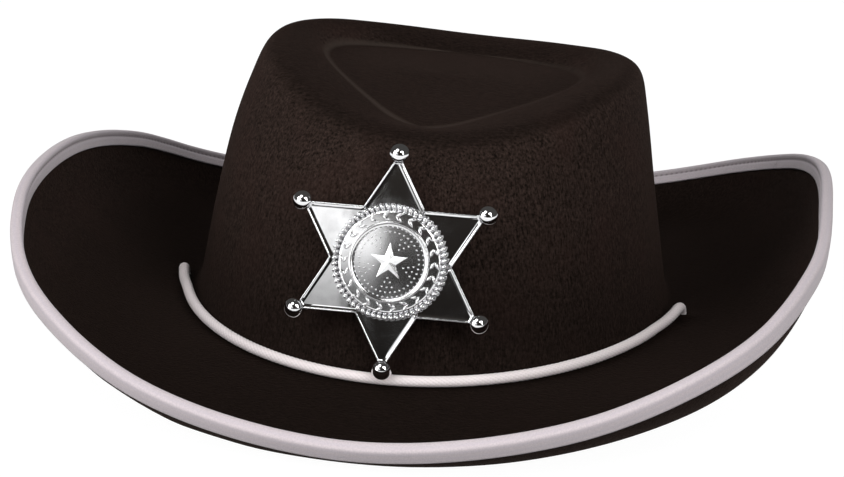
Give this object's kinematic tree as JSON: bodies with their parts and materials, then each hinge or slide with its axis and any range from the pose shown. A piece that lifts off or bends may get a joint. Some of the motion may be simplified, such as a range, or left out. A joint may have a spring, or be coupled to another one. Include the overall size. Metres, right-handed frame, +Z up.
{
  "type": "sheriff hat",
  "caption": "Felt western hat with a rolled, tape-bound brim, a teardrop crease in the crown, a round white cord that goes on as a chin loop, and a ball-tipped star badge.",
  "frame": {"origin": "on the surface that the hat rests on, under the middle of its bounding box without the chin loop", "axes": "+Z up, -Y out of the front where the badge sits, +X to the right of someone who looks at the badge"},
  "size_m": [0.2806, 0.3323, 0.1073],
  "materials": {
    "felt": "matt black-brown moulded felt with fine fibres",
    "tape": "white woven tape, stitched along its middle",
    "cord": "white round braided cord",
    "chrome": "bright chromed metal"
  },
  "bodies": {
    "root": {"hat_body": "felt", "brim_binding": "tape", "front_cord": "cord", "chin_loop": "cord", "badge_star": "chrome", "badge_medallion": "chrome", "badge_pin": "chrome"}
  },
  "joints": []
}
